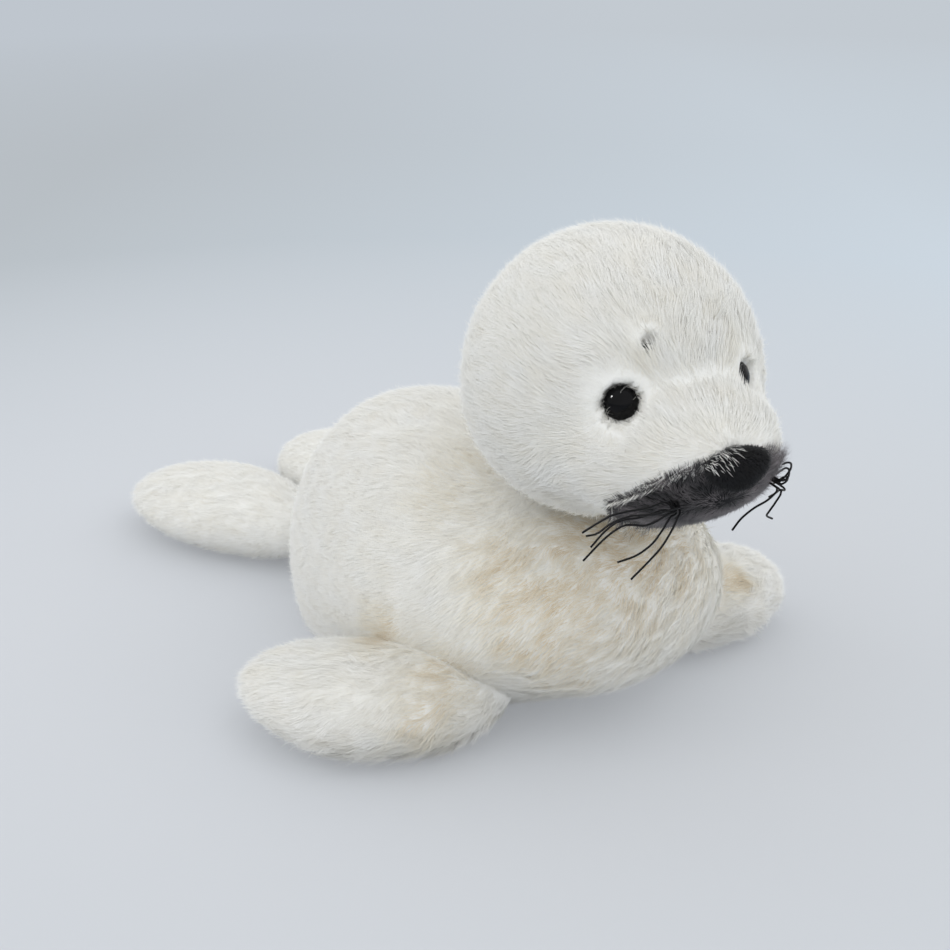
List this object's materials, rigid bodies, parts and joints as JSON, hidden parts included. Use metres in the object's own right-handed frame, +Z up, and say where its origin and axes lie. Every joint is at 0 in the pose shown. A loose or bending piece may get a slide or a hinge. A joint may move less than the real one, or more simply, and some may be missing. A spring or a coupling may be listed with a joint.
{
  "type": "plush seal pup",
  "caption": "Stuffed long-pile seal pup lying on its belly with its head raised, with plastic eyes, a dark muzzle panel and thread whiskers.",
  "frame": {"origin": "middle of the flat of the belly, on the surface that the seal lies on", "axes": "+Z up, -Y towards the chest and nose, +Y towards the hind flippers, +X the seal's left"},
  "size_m": [0.2724, 0.415, 0.2154],
  "materials": {
    "white_plush": "long brushed pile",
    "charcoal_plush": "short brushed pile",
    "black_velour": "short dense nap",
    "black_eye_plastic": "polished",
    "natural_nylon": "moulded",
    "black_waxed_thread": "waxed"
  },
  "bodies": {
    "root": {"torso": "white_plush", "head": "white_plush", "muzzle": "charcoal_plush", "nose": "black_velour", "eye_left": "black_eye_plastic", "eye_right": "black_eye_plastic", "eye_washer_left": "natural_nylon", "eye_washer_right": "natural_nylon", "brow_tuft_left": "black_waxed_thread", "brow_tuft_right": "black_waxed_thread", "front_flipper_left": "white_plush", "front_flipper_right": "white_plush", "hind_flipper_left": "white_plush", "hind_flipper_right": "white_plush", "whisker_left_1": "black_waxed_thread", "whisker_left_2": "black_waxed_thread", "whisker_left_3": "black_waxed_thread", "whisker_left_4": "black_waxed_thread", "whisker_left_5": "black_waxed_thread", "whisker_left_6": "black_waxed_thread", "whisker_right_1": "black_waxed_thread", "whisker_right_2": "black_waxed_thread", "whisker_right_3": "black_waxed_thread", "whisker_right_4": "black_waxed_thread", "whisker_right_5": "black_waxed_thread", "whisker_right_6": "black_waxed_thread"}
  },
  "joints": []
}
